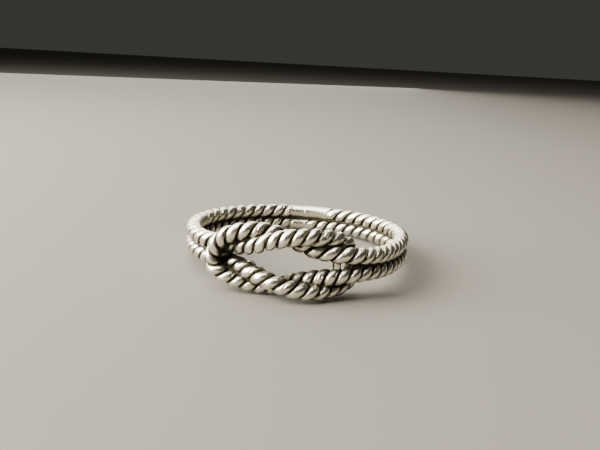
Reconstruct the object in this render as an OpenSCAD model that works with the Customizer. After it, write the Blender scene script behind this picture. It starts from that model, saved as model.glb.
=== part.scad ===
// Rope knot ring: two twisted ropes side by side round the finger,
// tied at the front in an open reef knot and soldered at the back.
// Millimetres, +Z up. The ring lies on its side, knot to the front (-Y).

/* [Band] */
// Inside diameter, where the finger goes
finger_d = 17.3; // [15.5:0.1:17.5]
// Distance between the middles of the two ropes in the band
rope_pitch = 1.26; // [1.2:0.01:1.3]

/* [Rope] */
// Diameter over the crests of the twisted strands
rope_d = 1.34; // [1.3:0.01:1.4]
// Length of one full turn of the strands
lay = 2.3; // [2.28:0.01:4]
// Depth of the groove between two strands
groove_depth = 0.28; // [0.1:0.01:0.3]
// How full the strands are: 2 is a wave, more gives broad strands and narrow grooves
fullness = 5; // [2:0.5:8]
// Cross-sections along one turn of the strands
steps_per_lay = 8; // [6:1:8]

/* [Solder] */
// Height of the solder strip that joins the ropes
strip_h = 0.9; // [0.75:0.05:1]
// Thickness of the solder strip
strip_w = 0.6; // [0.6:0.05:0.7]

/* [Back joint] */
// Smooth stretch of the right rope above the seam
smooth_right_top = 2.4; // [0:0.1:4]
// Smooth stretch of the right rope below the seam
smooth_right_bottom = 0.2; // [0:0.1:4]
// Smooth stretch of the left rope above the seam
smooth_left_top = 1.3; // [0:0.1:4]
// Smooth stretch of the left rope below the seam
smooth_left_bottom = 1.2; // [0:0.1:4]
// Length over which the strands rise out of the smooth stretch
fade_len = 0.6; // [0.3:0.1:2]

/* [Rest] */
// Lift of the knot side when the ring lies on a table, degrees
rest_tilt = 3.8; // [0:0.1:8]

/* [Hidden] */

// Strands in each rope
strands = 2;
rope_r = rope_d / 2;
band_r = finger_d / 2 + rope_r;
band_w = finger_d + 2 * rope_d;
half_pitch = rope_pitch / 2;
back = 180;
// How much slimmer the smooth stretches are than the crests
smooth_drop = 0.08;
smooth_r = rope_r - smooth_drop;
// The right rope laps this far, in degrees, round the left one at the seam, and is this much thicker there
lap = 1.5;
lap_rise = 0.03;

// Columns of the route tables
ANGLE = 0; // degrees round the ring from the front, + to the right
OUT = 1; // mm outside the line of the band
RISE = 2; // mm above the middle of the band

// The right-hand rope: its leg above, its bight at the left, its leg below
RIGHT_ROPE_KNOT = [
    [76, 0, 0.63], [69, 0.08, 0.64], [62, 0.25, 0.66], [55, 0.5, 0.68], [48, 0.8, 0.71],
    [42, 1.05, 0.77], [36, 1.25, 0.86], [29, 1.33, 0.96], [22, 1.1, 1.04], [15, 0.6, 1.18],
    [8, 0.1, 1.5], [1, -0.05, 1.95], [-6, 0.1, 2.3], [-12, 0.55, 2.5], [-18, 1.1, 2.4],
    [-23.5, 1.35, 2.05], [-28, 1.35, 1.5], [-31, 1.3, 0.8], [-32, 1.3, 0], [-31.5, 1.3, -0.7],
    [-28.5, 1.2, -1.2], [-24, 0.9, -1.5], [-18.5, 0.5, -1.75], [-12, 0.1, -1.95],
    [-6, -0.05, -1.9], [0, -0.05, -1.63], [6, 0.1, -1.28], [13, 0.55, -0.94], [20, 1, -0.68],
    [27, 1.3, -0.5], [34, 1.25, -0.44], [41, 1.05, -0.46], [48, 0.8, -0.52], [55, 0.5, -0.57],
    [62, 0.25, -0.6], [69, 0.08, -0.62], [76, 0, -0.63]];

// The left-hand rope: its leg above, its bight at the right, its leg below
LEFT_ROPE_KNOT = [
    [-46, 0, 0.68], [-38, -0.05, 0.78], [-31, 0, 0.86], [-24, 0.2, 0.88], [-17, 0.6, 1.1],
    [-11, 1, 1.45], [-5, 1.25, 1.9], [2, 1.35, 2.28], [9, 1.25, 2.4], [16, 0.9, 2.32],
    [22, 0.45, 2.1], [27.5, 0.1, 1.8], [31.5, -0.05, 1.3], [33.5, -0.05, 0.65],
    [34, -0.05, -0.1], [33.5, -0.05, -0.85], [31, 0, -1.42], [26, 0.25, -1.75],
    [20, 0.65, -1.86], [14, 1.05, -1.86], [8, 1.3, -1.78], [2, 1.35, -1.55], [-4, 1.25, -1.25],
    [-10, 1, -0.95], [-17, 0.55, -0.7], [-24, 0.1, -0.5], [-31, -0.05, -0.48],
    [-38, -0.05, -0.56], [-46, 0, -0.64]];

// The solder between the two legs of the right rope, and of the left rope
RIGHT_SEAM_KNOT = [
    [23, 1.12, 0.22], [27, 1.3, 0.24], [34, 1.26, 0.22], [41, 1.06, 0.16], [48, 0.8, 0.1],
    [55, 0.5, 0.06], [62, 0.25, 0.03], [69, 0.08, 0.01], [76, 0, 0]];
LEFT_SEAM_KNOT = [[-46, 0, 0.02], [-38, -0.05, 0.11], [-31, -0.03, 0.18], [-27, 0.05, 0.2]];

// The solder where one rope lies against the other above and below the eye
CONTACT_SEAMS = [
    [[-2, 0.6, -1.5], [3, 0.7, -1.48], [8, 0.75, -1.46], [13, 0.8, -1.4], [18, 0.8, -1.32],
     [23, 0.8, -1.25]],
    [[1, 0.65, 2.1], [6, 0.65, 2.05], [11, 0.7, 1.92], [16, 0.76, 1.75], [21, 0.78, 1.6],
     [26, 0.74, 1.43], [30, 0.7, 1.2]],
    [[-27.5, 0.65, 1.1], [-24.5, 0.7, 1.36], [-21, 0.75, 1.52], [-17, 0.8, 1.72],
     [-13, 0.75, 1.88], [-9, 0.7, 2], [-5, 0.6, 2.1]],
    [[-30.5, 0.65, -0.7], [-27, 0.6, -0.9], [-23.5, 0.5, -1.02], [-20, 0.5, -1.18],
     [-16, 0.5, -1.32], [-12, 0.5, -1.45], [-8, 0.55, -1.52]]];

// Rows for a plain stretch of the band, with one row more past the first end
function band_rows(from, to, rise, count = 8) =
    [for (i = [-1:count]) [from + (to - from) * i / count, 0, rise]];
function reversed(list) = [for (i = [len(list) - 1:-1:0]) list[i]];

// A rope's whole route, from the back joint through the knot and back to it
row_gap = 8;
function rope_rows(knot, side, overlap) =
    let (back_end = side * (back + overlap), knot_end = knot[0][ANGLE] + side * row_gap)
    concat(band_rows(back_end, knot_end, half_pitch),
           knot,
           reversed(band_rows(back_end, knot_end, -half_pitch)));

// Cubic B-spline through the rows, from the second one to the last but one
function blend(t) = [(1 - t) ^ 3, 3 * t ^ 3 - 6 * t ^ 2 + 4, -3 * t ^ 3 + 3 * t ^ 2 + 3 * t + 1, t ^ 3] / 6;
function spline_at(rows, i, t) = blend(t) * [for (k = [-1:2]) rows[i + k]];
function spline(rows, per_row = 6) =
    let (last = len(rows) - 3)
    concat([for (i = [1:last]) for (k = [0:per_row - 1]) spline_at(rows, i, k / per_row)],
           [spline_at(rows, last, 1)]);

function place(row) =
    let (r = band_r + row[OUT])
    [r * sin(row[ANGLE]), -r * cos(row[ANGLE]), row[RISE]];

// Distance run along a row of points, at each point
function run_lengths(points) =
    [for (i = 0, run = 0; i < len(points);
          i = i + 1, run = i < len(points) ? run + norm(points[i] - points[i - 1]) : run) run];

// Points at equal steps along a route, found between its rows, so that they keep to the band's circle
function even_points(rows, step) =
    let (run = run_lengths([for (row = rows) place(row)]),
         total = run[len(run) - 1],
         count = round(total / step),
         tables = [for (column = [ANGLE, OUT, RISE]) [for (i = [0:len(run) - 1]) [run[i], rows[i][column]]]])
    [for (k = [0:count])
        let (s = total * k / count)
        place([for (table = tables) lookup(s, table)])];

function unit(v) = v / norm(v);

// The direction of the route at point i
function ahead(points, i) =
    unit(points[min(i + 1, len(points) - 1)] - points[max(i - 1, 0)]);

// A closed outline across the route: each corner is [distance, angle from the upper side]
function outline(centre, forward, corners) =
    let (outward = unit([centre.x, centre.y, 0]),
         across = unit(cross(forward, outward)),
         up = cross(across, forward))
    [for (corner = corners) centre + corner[0] * (cos(corner[1]) * up + sin(corner[1]) * across)];

// How far the strands stand out at a place that is s from the rope's end: 0 smooth, 1 full
function relief(s, smooth) = min(1, max(0, (s - smooth) / fade_len));

sides_per_strand = 4;
side_count = sides_per_strand * strands;
function strand_r(angle) = rope_r - groove_depth * pow(abs(sin(strands * angle / 2)), fullness);

// The outlines of a rope, turned left-handed along its run, and fewer and hardly turned where it is smooth
plain_every = 4;
plain_twist = 0.05;
function rope_outlines(rows, smooth_start, smooth_end, plain_r) =
    let (step = lay / steps_per_lay,
         centres = even_points(spline(rows), step),
         last = len(centres) - 1,
         run_end = last * step,
         raised = [for (i = [0:last])
             min(relief(i * step, smooth_start), relief(run_end - i * step, smooth_end))],
         kept = [for (i = [0:last])
             if (i % plain_every == 0 || i == last || raised[max(i - 1, 0)] + raised[min(i + 1, last)] > 0)
             i])
    [for (i = kept)
        let (run = i * step,
             roped_run = min(max(run, smooth_start), run_end - smooth_end),
             turned_run = roped_run + (run - roped_run) * plain_twist,
             turn = -360 * (turned_run - smooth_start) / lay)
        outline(centres[i], ahead(centres, i),
            [for (j = [0:side_count - 1])
                let (angle = 360 * j / side_count)
                [plain_r + (strand_r(angle) - plain_r) * raised[i], angle + turn]])];

// The outlines of a strip of solder: four corners, outside, below, inside and above its line,
// with every other outline lower. Its rows go round with the angle rising.
strip_drop = 0.12;
function strip_corners(h) = [[0, h / 2, 0], [0, 0, -strip_w / 2], [0, -h / 2, 0], [0, 0, strip_w / 2]];
function strip_outlines(rows) =
    let (line = spline(rows, 1))
    [for (i = [0:len(line) - 1])
        [for (corner = strip_corners(strip_h - (i % 2) * strip_drop)) place(line[i] + corner)]];

right_rope = rope_outlines(rope_rows(RIGHT_ROPE_KNOT, 1, lap),
    smooth_right_top, smooth_right_bottom, smooth_r + lap_rise);
left_rope = rope_outlines(rope_rows(LEFT_ROPE_KNOT, -1, 0),
    smooth_left_top, smooth_left_bottom, smooth_r);

// The strip round the band turns from the right leg of the knot to the left one, past the back
function full_turn(rows) = [for (row = rows) [row[ANGLE] + 360, row[OUT], row[RISE]]];
band_strip = strip_outlines(concat(RIGHT_SEAM_KNOT, band_rows(98, 302, 0, 17), full_turn(LEFT_SEAM_KNOT)));
contact_strips = [for (seam = CONTACT_SEAMS) strip_outlines(seam)];

// A closed solid through outlines that all have the same number of corners
module sweep(outlines) {
    n = len(outlines[0]);
    last = len(outlines) - 1;
    walls = [for (i = [0:last - 1]) for (j = [0:n - 1])
        let (a = i * n + j,
             b = i * n + (j + 1) % n,
             c = a + n,
             d = b + n)
        each [[a, d, b], [a, c, d]]];
    start_cap = [for (j = [1:n - 2]) [0, j, j + 1]];
    end_base = last * n;
    end_cap = [for (j = [1:n - 2]) [end_base, end_base + j + 1, end_base + j]];
    polyhedron([for (corners = outlines) each corners], concat(walls, start_cap, end_cap));
}

// The ring at rest: the knot side lifted, the lowest crests on the table, the box centred
function tilted(p) =
    [p.x, p.y * cos(rest_tilt) + p.z * sin(rest_tilt), p.z * cos(rest_tilt) - p.y * sin(rest_tilt)];
rest_points = [for (rope = [right_rope, left_rope]) for (corners = rope) for (p = corners) tilted(p)];
function column(axis) = [for (p = rest_points) p[axis]];
function middle(axis) = (min(column(axis)) + max(column(axis))) / 2;

// A rope is swept in two lengths that meet in its bight, because its legs touch each other
module rope(outlines) {
    bight = floor(len(outlines) / 2);
    sweep([for (i = [0:bight]) outlines[i]]);
    sweep([for (i = [bight:len(outlines) - 1]) outlines[i]]);
}

module ring() {
    color("silver")
    translate([-middle(0), -middle(1), -min(column(2))])
    rotate([-rest_tilt, 0, 0])
    resize([band_w, 0, 0], auto = true)
    union() {
        rope(right_rope);
        rope(left_rope);
        sweep(band_strip);
        for (strip = contact_strips) sweep(strip);
    }
}

ring();
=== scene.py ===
"""An antiqued silver ring: two twisted ropes round the finger, tied at the front in a reef knot.

Sizes are in millimetres, as a goldsmith gives them, and become metres where a mesh is made.
The ring is built in its own frame, with the band level and the knot to the front (-Y), and is
then laid on the floor as it rests by itself.
"""

import logging
import math
from collections.abc import Callable, Sequence
from dataclasses import dataclass, field
from enum import Enum

import bpy
import numpy as np
from mathutils import Matrix, Vector


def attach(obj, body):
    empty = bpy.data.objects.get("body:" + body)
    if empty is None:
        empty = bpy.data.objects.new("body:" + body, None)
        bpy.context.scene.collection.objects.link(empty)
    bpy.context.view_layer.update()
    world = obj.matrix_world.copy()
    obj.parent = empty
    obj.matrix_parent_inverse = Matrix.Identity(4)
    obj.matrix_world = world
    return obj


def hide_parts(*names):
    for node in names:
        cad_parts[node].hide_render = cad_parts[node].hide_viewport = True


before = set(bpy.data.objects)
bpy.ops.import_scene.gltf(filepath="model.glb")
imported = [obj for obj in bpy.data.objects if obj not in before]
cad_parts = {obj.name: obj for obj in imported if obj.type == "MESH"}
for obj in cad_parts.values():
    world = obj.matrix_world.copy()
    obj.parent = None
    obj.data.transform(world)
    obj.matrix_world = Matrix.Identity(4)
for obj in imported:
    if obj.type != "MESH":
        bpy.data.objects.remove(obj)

LOG = logging.getLogger("rope_ring")
MM = 0.001
TURNS = "turns"
POINTS_AT_ONCE = 20000
Row = tuple[float, float, float]
Colour = tuple[float, float, float]

# How near to an end of its route, as a share of the route, a swept outline shrinks to a point, and
# the distance in metres within which such points become one
END_SHARE = 1e-5
WELD = 1e-6


class Side(Enum):
    """The side of the ring that a rope's ends come from."""

    RIGHT = 1
    LEFT = -1


class Mark(Enum):
    """The names of the values that a piece's mesh carries for its finish and its painted shade."""

    GROOVE = "groove"
    # How closely the ropes shut a point in, which darkens the silver partly as tarnish in the joints and
    # partly as painted shade
    SHELTER = "shelter"


# Columns of the route tables: degrees round the ring from the front, mm outside the line of the
# band, and mm above the middle of the band
RIGHT_ROPE_KNOT: list[Row] = [
    (76, 0, 0.63), (69, 0.08, 0.64), (62, 0.25, 0.66), (55, 0.5, 0.68), (48, 0.8, 0.71),
    (42, 1.05, 0.77), (36, 1.25, 0.86), (29, 1.33, 0.96), (22, 1.1, 1.04), (15, 0.6, 1.18),
    (8, 0.1, 1.5), (1, -0.05, 1.95), (-6, 0.1, 2.3), (-12, 0.55, 2.5), (-18, 1.1, 2.4),
    (-23.5, 1.35, 2.05), (-28, 1.35, 1.5), (-31, 1.3, 0.8), (-32, 1.3, 0), (-31.5, 1.3, -0.7),
    (-28.5, 1.2, -1.2), (-24, 0.9, -1.5), (-18.5, 0.5, -1.75), (-12, 0.1, -1.95),
    (-6, -0.05, -1.9), (0, -0.05, -1.63), (6, 0.1, -1.28), (13, 0.55, -0.94), (20, 1, -0.68),
    (27, 1.3, -0.5), (34, 1.25, -0.44), (41, 1.05, -0.46), (48, 0.8, -0.52), (55, 0.5, -0.57),
    (62, 0.25, -0.6), (69, 0.08, -0.62), (76, 0, -0.63)]

LEFT_ROPE_KNOT: list[Row] = [
    (-46, 0, 0.68), (-38, -0.05, 0.78), (-31, 0, 0.86), (-24, 0.2, 0.88), (-17, 0.6, 1.1),
    (-11, 1, 1.45), (-5, 1.25, 1.9), (2, 1.35, 2.28), (9, 1.25, 2.4), (16, 0.9, 2.32),
    (22, 0.45, 2.1), (27.5, 0.1, 1.8), (31.5, -0.05, 1.3), (33.5, -0.05, 0.65),
    (34, -0.05, -0.1), (33.5, -0.05, -0.85), (31, 0, -1.42), (26, 0.25, -1.75),
    (20, 0.65, -1.86), (14, 1.05, -1.86), (8, 1.3, -1.78), (2, 1.35, -1.55), (-4, 1.25, -1.25),
    (-10, 1, -0.95), (-17, 0.55, -0.7), (-24, 0.1, -0.5), (-31, -0.05, -0.48),
    (-38, -0.05, -0.56), (-46, 0, -0.64)]

# How tightly the strands are twisted: mm along the rope, and mm for one full turn up to there
RIGHT_ROPE_LAYS = [(19, 2.33), (22.2, 2.15), (24.8, 1.73), (27.8, 2.06), (32.6, 1.95), (35.4, 1.75),
                   (37.8, 2.17), (42.5, 1.96), (46.1, 1.78), (50.5, 1.75), (54.3, 1.88), (80, 2.2)]
LEFT_ROPE_LAYS = [(21.3, 2.35), (25.9, 2.2), (28.9, 2.02), (32.4, 1.75), (35.7, 2.29), (40, 2.21),
                  (43.8, 1.88), (47.8, 2), (52.4, 2.05), (80, 2.2)]

RIGHT_SEAM_KNOT: list[Row] = [
    (23, 1.12, 0.22), (27, 1.3, 0.24), (34, 1.26, 0.22), (41, 1.06, 0.16), (48, 0.8, 0.1),
    (55, 0.5, 0.06), (62, 0.25, 0.03), (69, 0.08, 0.01), (76, 0, 0)]
LEFT_SEAM_KNOT: list[Row] = [(-46, 0, 0.02), (-38, -0.05, 0.11), (-31, -0.03, 0.18), (-27, 0.05, 0.2)]

# Solder where one rope lies on the other in the knot
CONTACT_SEAMS: dict[str, list[Row]] = {
    "lower_right": [(-2, 0.6, -1.5), (3, 0.7, -1.48), (8, 0.75, -1.46), (13, 0.8, -1.4),
                    (18, 0.8, -1.32), (23, 0.8, -1.25)],
    "upper_right": [(1, 0.65, 2.1), (6, 0.65, 2.05), (11, 0.7, 1.92), (16, 0.76, 1.75),
                    (21, 0.78, 1.6), (26, 0.74, 1.43), (30, 0.7, 1.2)],
    "upper_left": [(-5, 0.6, 2.1), (-9, 0.7, 2), (-13, 0.75, 1.88), (-17, 0.8, 1.72),
                   (-21, 0.75, 1.52), (-24.5, 0.7, 1.36), (-27.5, 0.65, 1.1)],
    "lower_left": [(-30.5, 0.65, -0.7), (-27, 0.6, -0.9), (-23.5, 0.5, -1.02), (-20, 0.5, -1.18),
                   (-16, 0.5, -1.32), (-12, 0.5, -1.45), (-8, 0.55, -1.52)]}

# Thin lips of metal left on the rope's edge in the eye, as arcs: the angles at both ends, mm
# outside, the rise at both ends, and how far the middle stands above them
LIPS = [(-17.6, -12.6, 0.5, -0.18, -0.34, 0.26), (-12.2, -7.6, 0.8, -0.38, -0.62, 0.24),
        (-7.5, -3.5, 1.02, -0.68, -0.92, 0.23), (-3.6, 0.9, 1.16, -0.96, -1.08, 0.18)]

# Drops of solder, each a short run: rows, mm deep and mm wide
DROPS: list[tuple[list[Row], float, float]] = [
    ([(22.3, 0.95, 1.05), (22.4, 0.98, 0.72), (22.5, 1.02, 0.3), (22.6, 1, -0.1), (22.7, 0.95, -0.45)],
     0.62, 0.62),
    ([(17.5, 0.85, -0.9), (17.6, 0.9, -1.1), (17.7, 0.9, -1.3), (17.8, 0.9, -1.55), (17.8, 0.85, -1.8)],
     0.6, 0.56),
    ([(-4.6, 1.1, 1.36), (-3.4, 1.15, 1.4), (-2, 1.2, 1.44), (-0.8, 1.2, 1.5), (0.4, 1.2, 1.6)], 0.3, 0.24),
    ([(3, 1.2, 1.66), (4.2, 1.2, 1.6), (5.4, 1.15, 1.56), (6.6, 1.1, 1.52), (7.8, 1.1, 1.5)], 0.32, 0.26),
    ([(8.5, 0.5, 1), (10, 0.55, 0.84), (12, 0.6, 0.74), (14.5, 0.75, 0.62), (16.5, 0.8, 0.55)], 0.24, 0.2)]


@dataclass(frozen=True)
class Band:
    """The sizes that the ropes and the solder share.

    Attributes:
        finger_d: Inside diameter of the ring.
        rope_d: Diameter of a rope over its crests.
        rope_pitch: Distance between the middles of the two ropes.
    """

    finger_d: float = 17.3
    rope_d: float = 1.34
    rope_pitch: float = 1.26

    @property
    def radius(self) -> float:
        """Radius of the line that the ropes follow round the finger."""
        return (self.finger_d + self.rope_d) / 2

    def place(self, row: Sequence[float]) -> tuple[float, float, float]:
        """The point of a route row in the ring's own frame, in mm."""
        turn = math.radians(row[0])
        radius = self.radius + row[1]
        return radius * math.sin(turn), -radius * math.cos(turn), row[2]


@dataclass
class Route:
    """A line through the ring, given by rows of a route table.

    Attributes:
        rows: The rows, with one before its start and one past its end.
        per_row: Points made for each row.
    """

    rows: list[Row]
    per_row: int = 24

    def points(self, band: Band) -> list[tuple[float, float, float]]:
        """Points on the cubic B-spline through the rows, in mm."""
        last = len(self.rows) - 3
        steps = [(i, k / self.per_row) for i in range(1, last + 1) for k in range(self.per_row)]
        return [band.place(self._at(i, t)) for i, t in [*steps, (last, 1.0)]]

    def _at(self, i: int, t: float) -> Row:
        """The row a share t of the way past row i."""
        weights = ((1 - t) ** 3, 3 * t**3 - 6 * t**2 + 4, -3 * t**3 + 3 * t**2 + 3 * t + 1, t**3)
        near = self.rows[i - 1:i + 3]
        return tuple(sum(w * row[axis] for w, row in zip(weights, near)) / 6 for axis in range(3))

    def runs(self, band: Band) -> np.ndarray:
        """How far along the route each of its points is, in mm."""
        steps = np.linalg.norm(np.diff(np.array(self.points(band)), axis=0), axis=1)
        return np.concatenate([[0], np.cumsum(steps)])

    def even_points(self, band: Band, step: float) -> np.ndarray:
        """Points at equal steps along the route, in mm."""
        runs, points = self.runs(band), np.array(self.points(band))
        wanted = np.arange(0, runs[-1], step)
        return np.stack([np.interp(wanted, runs, points[:, axis]) for axis in range(3)], axis=1)

    def mesh(self, name: str, band: Band) -> bpy.types.Mesh:
        """The route as a mesh of edges, in metres."""
        spots = [[c * MM for c in point] for point in self.points(band)]
        mesh = bpy.data.meshes.new(name)
        mesh.from_pydata(spots, [(i, i + 1) for i in range(len(spots) - 1)], [])
        return mesh


def band_rows(start: float, end: float, rise: float, count: int = 8) -> list[Row]:
    """Rows for a plain stretch of the band, with one row more before its start."""
    return [(start + (end - start) * i / count, 0, rise) for i in range(-1, count + 1)]


class Field:
    """A value at every point of a node tree. Its arithmetic adds Math nodes."""

    def __init__(self, graph: "Graph", socket: bpy.types.NodeSocket) -> None:
        """Keeps the graph and the output socket that the value comes from."""
        self.graph = graph
        self.socket = socket

    def __add__(self, other: "Field | float") -> "Field":
        """The sum."""
        return self.graph.math("ADD", self, other)

    def __sub__(self, other: "Field | float") -> "Field":
        """The difference."""
        return self.graph.math("SUBTRACT", self, other)

    def __rsub__(self, other: float) -> "Field":
        """The difference from a number."""
        return self.graph.math("SUBTRACT", other, self)

    def __mul__(self, other: "Field | float") -> "Field":
        """The product."""
        return self.graph.math("MULTIPLY", self, other)

    def __truediv__(self, other: "Field | float") -> "Field":
        """The quotient."""
        return self.graph.math("DIVIDE", self, other)

    def __pow__(self, other: "Field | float") -> "Field":
        """The power."""
        return self.graph.math("POWER", self, other)

    __radd__ = __add__
    __rmul__ = __mul__


class Arrow(Field):
    """A vector at every point of a node tree. Its arithmetic adds Vector Math nodes."""

    def __add__(self, other: "Arrow") -> "Arrow":
        """The sum of two vectors."""
        return self.graph.vector("ADD", self, other)

    def __mul__(self, other: "Field | float") -> "Arrow":
        """The vector, scaled."""
        return self.graph.scaled(self, other)

    def cross(self, other: "Arrow") -> "Arrow":
        """The cross product, one long."""
        return self.graph.vector("NORMALIZE", self.graph.vector("CROSS_PRODUCT", self, other))

    def part(self, axis: int) -> Field:
        """One of the vector's three parts."""
        return Field(self.graph, self.graph.node("ShaderNodeSeparateXYZ", {0: self}).outputs[axis])


class Graph:
    """A node tree, with short calls for the nodes that this file uses."""

    def __init__(self, tree: bpy.types.NodeTree) -> None:
        """Keeps the tree."""
        self.tree = tree

    def node(self, kind: str, inputs: dict | None = None, **settings: object) -> bpy.types.Node:
        """Adds a node.

        Args:
            kind: The node's type.
            inputs: What goes into its sockets, by socket name or number.
            settings: The node's own properties.

        Returns:
            The new node.
        """
        made = self.tree.nodes.new(kind)
        for name, value in settings.items():
            setattr(made, name, value)
        for key, value in (inputs or {}).items():
            if isinstance(value, Field):
                self.tree.links.new(value.socket, made.inputs[key])
            else:
                made.inputs[key].default_value = value
        return made

    def field(self, kind: str, inputs: dict | None = None, output: int | str = 0,
              **settings: object) -> Field:
        """Adds a node and gives one of its outputs."""
        return Field(self, self.node(kind, inputs, **settings).outputs[output])

    def arrow(self, kind: str, inputs: dict | None = None, output: int | str = 0,
              **settings: object) -> Arrow:
        """Adds a node and gives one of its outputs, which is a vector."""
        return Arrow(self, self.node(kind, inputs, **settings).outputs[output])

    def math(self, operation: str, *values: Field | float) -> Field:
        """Adds a Math node."""
        return self.field("ShaderNodeMath", dict(enumerate(values)), operation=operation)

    def vector(self, operation: str, *values: Field) -> Arrow:
        """Adds a Vector Math node."""
        return self.arrow("ShaderNodeVectorMath", dict(enumerate(values)), operation=operation)

    def scaled(self, value: Field, factor: Field | float) -> Arrow:
        """Adds a Vector Math node that scales."""
        return self.arrow("ShaderNodeVectorMath", {"Vector": value, "Scale": factor}, operation="SCALE")

    def combine(self, x: Field | float, y: Field | float, z: Field | float) -> Arrow:
        """Makes a vector of three values."""
        return self.arrow("ShaderNodeCombineXYZ", {0: x, 1: y, 2: z})

    def between(self, value: Field, low: Field | float, high: Field | float) -> Field:
        """The value, held between two limits."""
        return self.math("MINIMUM", self.math("MAXIMUM", value, low), high)

    def ramp(self, value: Field, start: Field | float, end: Field | float) -> Field:
        """A smooth rise from 0 at start to 1 at end."""
        inputs = {"Value": value, "From Min": start, "From Max": end}
        return self.field("ShaderNodeMapRange", inputs, interpolation_type="SMOOTHSTEP")

    def noise(self, where: Arrow, scale: float, detail: float = 2.0) -> Field:
        """Smooth noise, about -0.5 to 0.5."""
        inputs = {"Vector": where, "Scale": scale, "Detail": detail}
        return self.field("ShaderNodeTexNoise", inputs) - 0.5


class ShapeTree(Graph):
    """A Geometry Nodes tree that sweeps an outline along a route."""

    def __init__(self, name: str) -> None:
        """Makes the empty tree with its route socket."""
        super().__init__(bpy.data.node_groups.new(name, "GeometryNodeTree"))
        self.keys: dict[str, str] = {}
        self.start = self.node("NodeGroupInput")
        self._socket("Route", "INPUT", "NodeSocketGeometry")
        self._socket("Shape", "OUTPUT", "NodeSocketGeometry")

    def _socket(self, name: str, way: str, kind: str) -> bpy.types.NodeTreeInterfaceSocket:
        """Adds a socket to the tree's interface."""
        return self.tree.interface.new_socket(name=name, in_out=way, socket_type=kind)

    def size(self, name: str, kind: str = "NodeSocketFloat") -> Field:
        """Adds a named input and gives its value."""
        self.keys[name] = self._socket(name, "INPUT", kind).identifier
        return Field(self, self.start.outputs[name])

    def sweep(self, rings: Field, sides: Field, radius: Callable[["Sweep"], Field],
              gather: Field | float = 0.0) -> None:
        """Sweeps an outline along the route, closes its ends and finishes the tree.

        Args:
            rings: Outlines along the route.
            sides: Corners of an outline.
            radius: Gives the outline's radius at a point of the sweep.
            gather: How much closer together the corners are at a quarter and three quarters of
                the way round, from 0 to 1.
        """
        route = self.field("GeometryNodeMeshToCurve", {0: Field(self, self.start.outputs["Route"])})
        total = self.field("GeometryNodeCurveLength", {0: route})
        inputs = {"Size X": 1.0, "Size Y": 1.0, "Vertices X": rings, "Vertices Y": sides + 1}
        sheet = self.field("GeometryNodeMeshGrid", inputs)
        spot = self.arrow("GeometryNodeInputPosition")
        share = self.between(spot.part(0) + 0.5, 0.0, 1.0)
        run = share * total
        turns = self.field("GeometryNodeInputNamedAttribute", {"Name": TURNS}, data_type="FLOAT")
        sampled = self.node("GeometryNodeSampleCurve", {
            "Curves": route, "Length": run, "Value": turns}, mode="LENGTH", data_type="FLOAT")
        centre = Arrow(self, sampled.outputs["Position"])
        ahead = Arrow(self, sampled.outputs["Tangent"])
        outward = self.vector("NORMALIZE", self.combine(centre.part(0), centre.part(1), 0.0))
        across = ahead.cross(outward)
        up = across.cross(ahead)
        twist = Field(self, sampled.outputs["Value"]) * -math.tau
        even = (spot.part(1) + 0.5) * math.tau
        place = Sweep(run, total, even + self.math("SINE", even * 2.0) * (gather / 2), centre)
        wanted = radius(place)
        angle = place.angle + twist
        past_start = self.math("GREATER_THAN", share, END_SHARE)
        before_end = self.math("LESS_THAN", share, 1.0 - END_SHARE)
        arm = up * self.math("COSINE", angle) + across * self.math("SINE", angle)
        moved = centre + arm * (wanted * (past_start * before_end))
        for mark, value in place.marks.items():
            inputs = {"Geometry": sheet, "Name": mark.value, "Value": value}
            sheet = self.field("GeometryNodeStoreNamedAttribute", inputs, data_type="FLOAT")
        self._finish(self.field("GeometryNodeSetPosition", {"Geometry": sheet, "Position": moved}))

    def _finish(self, shape: Field) -> None:
        """Closes the swept sheet, and gives it its finish."""
        closed = self.field("GeometryNodeMergeByDistance", {"Geometry": shape, "Distance": WELD})
        outward = self.field("GeometryNodeFlipFaces", {"Mesh": closed})
        smooth = self.field("GeometryNodeSetShadeSmooth", {"Geometry": outward})
        real = self.field("GeometryNodeRealizeInstances", {"Geometry": smooth})
        finish = self.size("Finish", "NodeSocketMaterial")
        dressed = self.field("GeometryNodeSetMaterial", {"Geometry": real, "Material": finish})
        self.node("NodeGroupOutput", {"Shape": dressed})


@dataclass
class Sweep:
    """What is known at a point of a swept outline.

    Attributes:
        run: Metres from the route's start.
        total: The route's whole length.
        angle: Angle round the outline, in radians.
        centre: The route's own point.
        marks: Values to keep on the mesh.
    """

    run: Field
    total: Field
    angle: Field
    centre: Arrow
    marks: dict[Mark, Field] = field(default_factory=dict)


def run_tree(tree: ShapeTree, name: str, route: bpy.types.Mesh, values: dict[str, object]) -> bpy.types.Mesh:
    """Runs a shape tree on a route and gives the result as a plain mesh.

    Args:
        tree: The tree.
        name: The new mesh's name.
        route: The route's mesh of edges.
        values: The tree's named inputs.

    Returns:
        The mesh.
    """
    maker = bpy.data.objects.new(f"{name}_maker", route)
    bpy.context.scene.collection.objects.link(maker)
    modifier = maker.modifiers.new("shape", "NODES")
    modifier.node_group = tree.tree
    for key, value in values.items():
        modifier[tree.keys[key]] = value
    graph = bpy.context.evaluated_depsgraph_get()
    mesh = bpy.data.meshes.new_from_object(maker.evaluated_get(graph))
    mesh.name = name
    maker.modifiers.remove(modifier)
    bpy.data.objects.remove(maker)
    bpy.data.meshes.remove(route)
    return mesh


def add_piece(name: str, mesh: bpy.types.Mesh) -> bpy.types.Object:
    """Puts a finished mesh into the scene as an object of the same name."""
    piece = bpy.data.objects.new(name, mesh)
    bpy.context.scene.collection.objects.link(piece)
    return piece


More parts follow.
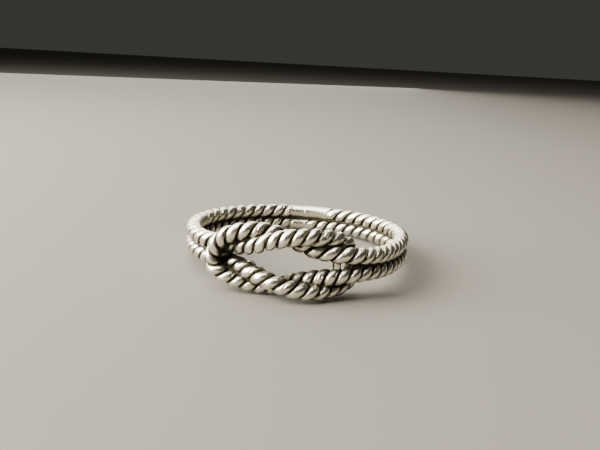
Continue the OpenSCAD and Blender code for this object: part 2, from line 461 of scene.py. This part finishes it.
@dataclass(frozen=True)
class AntiquedSilver:
    """Polished silver that is darkened in its grooves, pits and joints, by tarnish and, where the ropes shut
    each other in, by painted shade.

    Attributes:
        bright: Colour of the rubbed crests.
        stain_and_shade_colour: Colour at the edge of the dark grooves, and of the light painted shade where
            the ropes shut each other in.
        dark: Colour of the grooves, and of the deep painted shade between the ropes.
        polish: Roughness of the crests.
        patch_scale: Patches of uneven wear, per mm.
        speck_scale: Specks of tarnish, per mm.
        dent_scale: Fine dents, per mm.
        dent_depth: How deep they are, in mm.
        dent_strength: How much of them shows.
        groove_uneven: How much the patches and the specks move the edge of a dark groove.
        shelter_uneven: The same for the edge of the tarnish and painted shade between the ropes.
        groove_dark: Where in a groove the tarnish begins and is full, from 0 on the crest to 1.
        groove_stain: The same for the stain.
        shelter_dark: How sheltered a place is where its tarnish and dark painted shade begin and are full.
        shelter_stain_and_shade: The same for the stain and the light painted shade.
        tarnish_rough: How much rougher the tarnish is than the crests.
        stain_rough: The same for the stain.
        speck_rough: The same for the specks.
        tarnish_dull: How much less metallic the tarnish is.
    """

    bright: Colour = (0.86, 0.8, 0.68)
    stain_and_shade_colour: Colour = (0.27, 0.235, 0.16)
    dark: Colour = (0.03, 0.025, 0.013)
    polish: float = 0.28
    patch_scale: float = 1.6
    speck_scale: float = 9.0
    dent_scale: float = 7.0
    dent_depth: float = 0.03
    dent_strength: float = 0.4
    groove_uneven: tuple[float, float] = (0.26, 0.22)
    shelter_uneven: tuple[float, float] = (0.5, 0.3)
    groove_dark: tuple[float, float] = (0.9, 0.99)
    groove_stain: tuple[float, float] = (0.74, 0.95)
    shelter_dark: tuple[float, float] = (0.38, 0.58)
    shelter_stain_and_shade: tuple[float, float] = (0.16, 0.48)
    tarnish_rough: float = 0.35
    stain_rough: float = 0.1
    speck_rough: float = 0.16
    tarnish_dull: float = 0.35

    def make(self) -> bpy.types.Material:
        """Builds the material."""
        material = bpy.data.materials.new("antiqued_silver")
        material.use_nodes = True
        graph = Graph(material.node_tree)
        material.node_tree.nodes.clear()
        where = graph.arrow("ShaderNodeTexCoord", output="Object") * (1 / MM)
        groove = graph.field("ShaderNodeAttribute", output="Fac", attribute_name=Mark.GROOVE.value)
        shelter = graph.field("ShaderNodeAttribute", output="Fac", attribute_name=Mark.SHELTER.value)
        patches = graph.noise(where, self.patch_scale, 4.0)
        specks = graph.noise(where, self.speck_scale, 3.0)
        # The first mask holds the grooves and pits, for their tarnish; the second holds how closely the
        # ropes shut each other in, for tarnish in the joints and painted shade between the ropes
        worn, shade_and_tarnish_mask = (mark + patches * by_patch + specks * by_speck
                        for mark, (by_patch, by_speck) in ((groove, self.groove_uneven),
                                                           (shelter, self.shelter_uneven)))
        # The darkening and the stain take the stronger of the groove tarnish and the painted shade and
        # tarnish between the ropes
        tarnish, stain = (
            graph.math("MAXIMUM", graph.ramp(worn, *in_groove), graph.ramp(shade_and_tarnish_mask, *in_shelter))
            for in_groove, in_shelter in ((self.groove_dark, self.shelter_dark),
                                          (self.groove_stain, self.shelter_stain_and_shade)))
        colour = self._mix(graph, stain, (*self.bright, 1), (*self.stain_and_shade_colour, 1))
        colour = self._mix(graph, tarnish, colour, (*self.dark, 1))
        rough = (tarnish * self.tarnish_rough + stain * self.stain_rough + specks * self.speck_rough
                 + self.polish)
        bump = graph.node("ShaderNodeBump", {
            "Strength": self.dent_strength, "Distance": self.dent_depth * MM,
            "Height": graph.noise(where, self.dent_scale, 6.0)})
        shader = graph.node("ShaderNodeBsdfPrincipled", {
            "Base Color": colour, "Metallic": 1.0 - tarnish * self.tarnish_dull, "Roughness": rough,
            "Normal": Field(graph, bump.outputs[0])})
        graph.node("ShaderNodeOutputMaterial", {"Surface": Field(graph, shader.outputs[0])})
        return material

    def _mix(self, graph: Graph, share: Field, first: object, second: object) -> Field:
        """Mixes two colours."""
        node = graph.node("ShaderNodeMix", data_type="RGBA")
        for socket, value in ((node.inputs[0], share), (node.inputs[6], first), (node.inputs[7], second)):
            if isinstance(value, Field):
                graph.tree.links.new(value.socket, socket)
            else:
                socket.default_value = value
        return Field(graph, node.outputs[2])


@dataclass(frozen=True)
class CastMarks:
    """What casting and polishing leave on a rope.

    Attributes:
        wander: How far the grooves leave an even twist, in radians.
        wander_scale: Bends of the wandering grooves, per mm.
        swell: Height of the broad swells, in mm.
        swell_scale: Swells, per mm.
        ripple: Height of the fine ripples, in mm.
        ripple_scale: Ripples, per mm.
        smooth_left: Share of the swells and ripples that is left on a smooth stretch.
        pit: Depth of a pit, in mm.
        pit_scale: Places for a pit, per mm.
        pit_edge: How far from a pit's middle its side begins and ends, as shares of its place.
        pit_dark: Shares of a pit's depth at which its tarnish begins and is full.
        pit_left: Share of a pit's depth that is left on a smooth stretch.
        spoilt_scale: Spoilt areas, which are the ones with pits, per mm.
        spoilt_edge: Values of their noise at which the pits begin and are full.
        spoilt_shift: Where that noise is read, so that it differs from the swells.
    """

    wander: float = 0.5
    wander_scale: float = 0.45
    swell: float = 0.05
    swell_scale: float = 0.8
    ripple: float = 0.022
    ripple_scale: float = 2.6
    smooth_left: float = 0.5
    pit: float = 0.09
    pit_scale: float = 2.2
    pit_edge: tuple[float, float] = (0.1, 0.34)
    pit_dark: tuple[float, float] = (0.15, 0.6)
    pit_left: float = 0.2
    spoilt_scale: float = 0.6
    spoilt_edge: tuple[float, float] = (-0.02, 0.1)
    spoilt_shift: tuple[float, float, float] = (7.0, 3.0, 5.0)


@dataclass
class TwistedRope:
    """One of the two ropes, from the joint at the back through the knot and back to it.

    Attributes:
        name: The piece's name.
        side: The side that its ends come from.
        knot: Its rows in the knot.
        smooth_top: Smooth stretch at the joint, on its upper leg, in mm.
        smooth_bottom: The same on its lower leg.
        past_back: Degrees by which it passes the back.
        slimmer: How much lower its smooth stretches are than its crests, in mm.
        lays: How tightly it is twisted.
        first_turn: Turns of the strands at its start.
        seed: Where the noise of its marks is read, so that the ropes differ.
        strands: Its strands.
        bulge: How far a strand falls off towards its grooves, in mm.
        cut: Depth of the narrow groove beside that, in mm.
        cut_power: How narrow the groove is.
        gather: How much closer together the corners of an outline are in the grooves, from 0 to 1.
        fade: Length over which a smooth stretch becomes a twisted one, in mm.
        lay_blend: How far to both sides of a place its lay is averaged, in mm.
        lay_steps: Places of that average.
        rings_per_mm: Outlines along it, per mm.
        sides: Corners of an outline.
        row_gap: Degrees between the last row of the band and the first one of the knot.
        cast: What casting leaves on it.
    """

    name: str
    side: Side
    knot: list[Row]
    smooth_top: float
    smooth_bottom: float
    past_back: float
    slimmer: float
    lays: list[tuple[float, float]]
    first_turn: float
    seed: float
    strands: int = 2
    bulge: float = 0.1
    cut: float = 0.2
    cut_power: float = 20.0
    gather: float = 0.5
    fade: float = 1.0
    lay_blend: float = 0.8
    lay_steps: int = 9
    rings_per_mm: float = 23.8
    sides: int = 54
    row_gap: float = 8.0
    cast: CastMarks = CastMarks()

    def route(self, band: Band) -> Route:
        """The rope's route."""
        back = self.side.value * (180 + self.past_back)
        ahead = self.knot[0][0] + self.side.value * self.row_gap
        rise = band.rope_pitch / 2
        rows = band_rows(back, ahead, rise) + self.knot + band_rows(back, ahead, -rise)[::-1]
        return Route(rows)

    def turns(self, runs: np.ndarray) -> np.ndarray:
        """How many full turns the strands have made at places along the rope.

        Args:
            runs: The places, in mm from the rope's start.

        Returns:
            The turns, with the change from one lay to the next made gradual.
        """
        ends = [0.0] + [end for end, _ in self.lays]
        made = np.cumsum([0.0] + [(end - start) / lay for start, (end, lay) in zip(ends, self.lays)])
        steps = np.linspace(-self.lay_blend, self.lay_blend, self.lay_steps)
        near = [np.interp(runs + step, ends, made) for step in steps]
        return self.first_turn + np.mean(near, axis=0)

    def tree(self) -> ShapeTree:
        """The tree that twists strands along a route."""
        tree = ShapeTree("twisted_rope")
        rope_r = tree.size("Rope Radius")
        plain_r = tree.size("Smooth Radius")
        strands = tree.size("Strands")
        bulge = tree.size("Bulge")
        cut = tree.size("Cut")
        cut_power = tree.size("Cut Power")
        starts = tree.size("Smooth Start")
        ends = tree.size("Smooth End")
        fade = tree.size("Fade")
        seed = tree.size("Seed")
        gather = tree.size("Gather")
        rings = tree.size("Rings", "NodeSocketInt")
        sides = tree.size("Sides", "NodeSocketInt")
        cast = self.cast

        def radius(at: Sweep) -> Field:
            """Strands that stand out between narrow grooves, with the marks of casting."""
            left = at.total - at.run
            where = tree.vector("ADD", at.centre * (1 / MM), tree.combine(seed, seed, 0.0))
            cosine, sine = (tree.math(wave, at.angle) for wave in ("COSINE", "SINE"))
            around = tree.combine(at.run * (1 / MM), cosine, sine)
            wander = tree.noise(around, cast.wander_scale, 1.0) * cast.wander
            swing = tree.math("SINE", at.angle * strands * 0.5 + wander)
            hollow = tree.math("ABSOLUTE", swing)
            strand = rope_r - bulge * hollow * hollow - cut * hollow ** cut_power
            raised = tree.ramp(at.run, starts, starts + fade) * tree.ramp(left, ends, ends + fade)
            uneven = (tree.noise(where, cast.swell_scale) * (cast.swell * MM)
                      + tree.noise(around, cast.ripple_scale, 3.0) * (cast.ripple * MM))
            uneven = uneven * (raised * (1 - cast.smooth_left) + cast.smooth_left)
            cells = tree.field("ShaderNodeTexVoronoi", {"Vector": around, "Scale": cast.pit_scale})
            spoilt = tree.noise(where + tree.combine(*cast.spoilt_shift), cast.spoilt_scale)
            pit = (1.0 - tree.ramp(cells, *cast.pit_edge)) * tree.ramp(spoilt, *cast.spoilt_edge)
            pit = pit * (raised * (1 - cast.pit_left) + cast.pit_left)
            at.marks[Mark.GROOVE] = tree.math("MAXIMUM", hollow * raised, tree.ramp(pit, *cast.pit_dark))
            return plain_r + (strand - plain_r) * raised + uneven - pit * (cast.pit * MM)

        tree.sweep(rings, sides, radius, gather)
        return tree

    def build(self, band: Band, finish: bpy.types.Material) -> bpy.types.Mesh:
        """Makes the rope's mesh in the ring's own frame."""
        runs = self.route(band).runs(band)
        rope_r = band.rope_d / 2
        route = self.route(band).mesh(f"{self.name}_route", band)
        twist = route.attributes.new(TURNS, "FLOAT", "POINT")
        twist.data.foreach_set("value", self.turns(runs).astype(np.float32))
        return run_tree(self.tree(), self.name, route, {
            "Rope Radius": rope_r * MM,
            "Smooth Radius": (rope_r - self.slimmer) * MM,
            "Strands": float(self.strands),
            "Bulge": self.bulge * MM,
            "Cut": self.cut * MM,
            "Cut Power": self.cut_power,
            "Smooth Start": self.smooth_top * MM,
            "Smooth End": self.smooth_bottom * MM,
            "Fade": self.fade * MM,
            "Seed": self.seed,
            "Gather": self.gather,
            "Rings": round(runs[-1] * self.rings_per_mm),
            "Sides": self.sides,
            "Finish": finish,
        })


@dataclass
class SolderSeam:
    """A run of solder between two ropes.

    Attributes:
        name: The piece's name.
        rows: Its route, with a row before its start and one past its end.
        height: Its height between the ropes, in mm.
        width: Its thickness, in mm.
        rough: How lumpy it is.
        mark: How dark it is, as a place in a rope's groove that has the same finish.
        pinch: How narrow it is between its upper and its lower edge; 1 is not pinched.
        lump_scale: Lumps, per mm.
        lump_round: How much the lumps change round it, in mm.
        lump_mark: How much brighter it is where a lump stands out.
        step: Length between two outlines, in mm.
        fewest_rings: Outlines that a short one has at least.
        sides: Corners of an outline.
    """

    name: str
    rows: list[Row]
    height: float = 0.9
    width: float = 0.6
    rough: float = 0.9
    mark: float = 1.1
    pinch: float = 3.0
    lump_scale: float = 2.6
    lump_round: float = 0.3
    lump_mark: float = 0.6
    step: float = 0.06
    fewest_rings: int = 6
    sides: int = 20

    def tree(self) -> ShapeTree:
        """The tree that draws solder along a route."""
        tree = ShapeTree("solder_seam")
        half_h = tree.size("Half Height")
        half_w = tree.size("Half Width")
        rough = tree.size("Rough")
        mark = tree.size("Mark")
        pinch = tree.size("Pinch")
        rings = tree.size("Rings", "NodeSocketInt")
        sides = tree.size("Sides", "NodeSocketInt")

        def radius(at: Sweep) -> Field:
            """A pinched oval, lumpy along its run, and brighter where it stands out."""
            cosine, sine = (tree.math(wave, at.angle) for wave in ("COSINE", "SINE"))
            high = tree.math("ABSOLUTE", cosine)
            where = at.centre * (1 / MM) + tree.combine(cosine, sine, 0.0) * self.lump_round
            lumps = tree.noise(where, self.lump_scale, 3.0)
            at.marks[Mark.GROOVE] = mark - lumps * self.lump_mark
            return (half_w + (half_h - half_w) * high ** pinch) * (lumps * rough + 1.0)

        tree.sweep(rings, sides, radius)
        return tree

    def build(self, band: Band, finish: bpy.types.Material) -> bpy.types.Mesh:
        """Makes the seam's mesh in the ring's own frame."""
        route = Route(self.rows)
        length = route.runs(band)[-1]
        return run_tree(self.tree(), self.name, route.mesh(f"{self.name}_route", band), {
            "Half Height": self.height / 2 * MM,
            "Half Width": self.width / 2 * MM,
            "Rough": self.rough,
            "Mark": self.mark,
            "Pinch": self.pinch,
            "Rings": max(self.fewest_rings, round(length / self.step)),
            "Sides": self.sides,
            "Finish": finish,
        })


@dataclass
class RopeKnotRing:
    """The whole ring: both ropes and the solder between them.

    Attributes:
        band: The sizes of the band.
        tilt: Degrees by which the knot lifts the front when the ring rests.
        node: The node of the solid that the pieces replace.
        slot: The finish that they have. Not used.
        solder_back: Degrees at which the plain run of solder round the back starts and ends.
        shelter_step: Step along the ropes at which their shelter is added up, in mm.
    """

    band: Band = field(default_factory=Band)
    tilt: float = 3.8
    node: str = "ring"
    slot: str = "antiqued_silver"
    solder_back: tuple[float, float] = (110, 302)
    shelter_step: float = 0.3

    def ropes(self) -> list[TwistedRope]:
        """The two ropes."""
        return [
            TwistedRope("right_rope", Side.RIGHT, RIGHT_ROPE_KNOT, smooth_top=2.4, smooth_bottom=0.2,
                        past_back=1.5, slimmer=0.05, lays=RIGHT_ROPE_LAYS, first_turn=-1.34, seed=3.0),
            TwistedRope("left_rope", Side.LEFT, LEFT_ROPE_KNOT, smooth_top=1.3, smooth_bottom=1.2,
                        past_back=0.0, slimmer=0.08, lays=LEFT_ROPE_LAYS, first_turn=-0.85, seed=11.0),
        ]

    def seams(self) -> list[SolderSeam]:
        """The runs of solder."""
        past = [(angle + 360, out, rise) for angle, out, rise in LEFT_SEAM_KNOT]
        round_back = RIGHT_SEAM_KNOT + band_rows(*self.solder_back, 0) + past
        knot = [SolderSeam(f"solder_{name}", rows) for name, rows in CONTACT_SEAMS.items()]
        drops = [SolderSeam(f"drop_{i}", rows, deep, wide, rough=0.6, mark=0.72, pinch=1.0)
                 for i, (rows, deep, wide) in enumerate(DROPS, 1)]
        lips = [SolderSeam(f"lip_{i}", self._lip_rows(*lip), 0.16, 0.12, rough=0.6, mark=0.9, pinch=1.0)
                for i, lip in enumerate(LIPS, 1)]
        return [SolderSeam("solder_band", round_back, 0.72, 0.5, rough=0.5), *knot, *drops, *lips]

    def _lip_rows(self, start: float, end: float, out: float, first: float, last: float,
                  arch: float, count: int = 6) -> list[Row]:
        """Rows for a thin lip that arches from one groove of a rope to the next."""
        shares = [i / count for i in range(-1, count + 2)]
        return [(start + (end - start) * t, out, first + (last - first) * t + arch * math.sin(math.pi * t))
                for t in shares]

    def build(self, finish: bpy.types.Material) -> tuple[list[bpy.types.Object], Matrix]:
        """Builds every piece and lays the ring on the floor.

        Args:
            finish: The silver.

        Returns:
            The pieces, and the move from the ring's own frame to where it lies.
        """
        ropes = self.ropes()
        rope_meshes = [rope.build(self.band, finish) for rope in ropes]
        seam_meshes = [seam.build(self.band, finish) for seam in self.seams()]
        # Each piece is marked with how closely the ropes shut it in, for the painted shade and the tarnish
        # between them
        centres = np.concatenate([
            rope.route(self.band).even_points(self.band, self.shelter_step) for rope in ropes])
        for mesh in rope_meshes + seam_meshes:
            self._mark_shelter(mesh, centres.astype(np.float32))
        rest = self._rest(rope_meshes)
        pieces = []
        for mesh in rope_meshes + seam_meshes:
            mesh.transform(rest)
            pieces.append(add_piece(mesh.name, mesh))
        return pieces, rest

    def _mark_shelter(self, mesh: bpy.types.Mesh, centres: np.ndarray) -> None:
        """Marks how much of its outlook the ropes take from each point of a mesh, for the painted shade and
        the tarnish between the ropes.

        Args:
            mesh: The mesh to mark.
            centres: Points at equal steps along the middle lines of the ropes, in mm.
        """
        spots = np.empty(len(mesh.vertices) * 3, np.float32)
        mesh.vertices.foreach_get("co", spots)
        spots = spots.reshape(-1, 3) / MM
        facing = np.empty_like(spots)
        mesh.vertex_normals.foreach_get("vector", facing.reshape(-1))
        rope_r = self.band.rope_d / 2
        shelter = []
        for low in range(0, len(spots), POINTS_AT_ONCE):
            near, out = spots[low:low + POINTS_AT_ONCE], facing[low:low + POINTS_AT_ONCE]
            away = (centres**2).sum(axis=1) - 2 * near @ centres.T + (near**2).sum(axis=1)[:, None]
            away = np.maximum(away, rope_r**2 / 2)
            faced = np.maximum(0, out @ centres.T - (near * out).sum(axis=1)[:, None])
            shelter.append((faced / away**1.5).sum(axis=1) * rope_r * self.shelter_step / 2)
        mark = mesh.attributes.new(Mark.SHELTER.value, "FLOAT", "POINT")
        mark.data.foreach_set("value", np.concatenate(shelter).astype(np.float32))

    def _rest(self, meshes: list[bpy.types.Mesh]) -> Matrix:
        """The move that lays the ring on the floor, with its box in the middle."""
        turn = Matrix.Rotation(math.radians(-self.tilt), 4, "X")
        spots = np.concatenate([
            np.array([turn @ v.co for v in mesh.vertices]) for mesh in meshes])
        low, high = spots.min(axis=0), spots.max(axis=0)
        middle = (low + high) / 2
        return Matrix.Translation((-middle[0], -middle[1], -low[2])) @ turn


@dataclass(frozen=True)
class PhotoView:
    """The camera, in the ring's own frame.

    Attributes:
        focal_px: Focal length, in pixels of the frame.
        distance: From the lens to the middle of the ring, in mm.
        elevation: Degrees above the plane of the ring.
        azimuth: Degrees to the right of the knot.
        roll: Degrees that the camera leans.
        middle_px: Where the middle of the ring stands in the frame.
        frame_px: The frame's width and height.
        sensor: Width of the sensor, in mm.
        nearest: Distance in metres from which the camera sees.
    """

    focal_px: float = 599.0
    distance: float = 54.6
    elevation: float = 11.7
    azimuth: float = 5.0
    roll: float = 3.47
    middle_px: tuple[float, float] = (298.1, 236.8)
    frame_px: tuple[float, float] = (600.0, 450.0)
    sensor: float = 36.0
    nearest: float = 0.001

    def make(self, rest: Matrix) -> None:
        """Places the camera.

        Args:
            rest: The move from the ring's own frame to where it lies.
        """
        lift, side = math.radians(self.elevation), math.radians(self.azimuth)
        back = Vector((math.sin(side) * math.cos(lift), -math.cos(side) * math.cos(lift), math.sin(lift)))
        right = Vector((math.cos(side), math.sin(side), 0))
        up = right.cross(-back)
        off_x = (self.middle_px[0] - self.frame_px[0] / 2) / self.focal_px
        off_y = (self.middle_px[1] - self.frame_px[1] / 2) / self.focal_px
        place = (back - right * off_x + up * off_y) * self.distance * MM
        lean = Matrix.Rotation(math.radians(self.roll), 4, "Z")
        turn = Matrix((right, up, back)).transposed().to_4x4() @ lean
        lens = bpy.data.cameras.new("photo_view")
        lens.sensor_width = self.sensor
        lens.lens = self.sensor * self.focal_px / self.frame_px[0]
        lens.clip_start = self.nearest
        camera = bpy.data.objects.new("photo_view", lens)
        camera.matrix_world = rest @ Matrix.Translation(place) @ turn
        bpy.context.scene.collection.objects.link(camera)
        bpy.context.scene.camera = camera


@dataclass(frozen=True)
class SoftLight:
    """A square soft light, aimed at the ring.

    Attributes:
        name: Its name.
        place: Where it hangs, in metres.
        size: Its side, in metres.
        power: Its power, in watts.
        colour: Its colour, a warm white.
    """

    name: str
    place: tuple[float, float, float]
    size: float
    power: float
    colour: Colour = (1.0, 0.96, 0.88)

    def make(self) -> None:
        """Hangs the light."""
        lamp = bpy.data.lights.new(self.name, "AREA")
        lamp.size = self.size
        lamp.energy = self.power
        lamp.color = self.colour
        holder = bpy.data.objects.new(self.name, lamp)
        holder.visible_camera = False
        holder.location = self.place
        holder.rotation_euler = (-Vector(self.place)).to_track_quat("-Z", "Y").to_euler()
        bpy.context.scene.collection.objects.link(holder)


@dataclass(frozen=True)
class Studio:
    """The plain pale floor and the light.

    Attributes:
        floor_size: Side of the floor, in metres.
        floor_colour: Its colour.
        floor_rough: How rough its paper is.
        air: Strength of the light from all round.
        air_colour: Its colour.
        lights: The soft lights.
    """

    floor_size: float = 4.0
    floor_colour: Colour = (0.12, 0.11, 0.092)
    floor_rough: float = 0.9
    air: float = 0.045
    air_colour: Colour = (1.0, 0.95, 0.86)
    lights: tuple[SoftLight, ...] = (
        SoftLight("key", (-0.19, -0.06, 0.11), 0.17, 3.8),
        SoftLight("sky", (-0.08, 0.0, 0.27), 0.28, 1.9),
        SoftLight("back", (-0.15, 0.28, 0.12), 0.5, 2.9),
    )

    def make(self) -> None:
        """Lays the floor and hangs the lights."""
        half = self.floor_size / 2
        mesh = bpy.data.meshes.new("floor")
        corners = [(-half, -half, 0), (half, -half, 0), (half, half, 0), (-half, half, 0)]
        mesh.from_pydata(corners, [], [(0, 1, 2, 3)])
        mesh.materials.append(self._paper())
        add_piece("floor", mesh)
        world = bpy.data.worlds.new("studio_air")
        bpy.context.scene.world = world
        world.use_nodes = True
        background = world.node_tree.nodes["Background"]
        background.inputs["Color"].default_value = (*self.air_colour, 1)
        background.inputs["Strength"].default_value = self.air
        for light in self.lights:
            light.make()

    def _paper(self) -> bpy.types.Material:
        """Matt pale paper."""
        material = bpy.data.materials.new("floor_paper")
        material.use_nodes = True
        shader = material.node_tree.nodes["Principled BSDF"]
        shader.inputs["Base Color"].default_value = (*self.floor_colour, 1)
        shader.inputs["Roughness"].default_value = self.floor_rough
        return material


def main() -> None:
    """Builds the ring, the camera and the studio, and reports each piece."""
    logging.basicConfig(level=logging.INFO, format="%(message)s")
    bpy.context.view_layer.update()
    ring = RopeKnotRing()
    pieces, rest = ring.build(AntiquedSilver().make())
    for piece in pieces:
        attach(piece, "root")
        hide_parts(ring.node)
        LOG.info("%s: %d faces", piece.name, len(piece.data.polygons))
    PhotoView().make(rest)
    Studio().make()


if __name__ == "__main__":
    main()
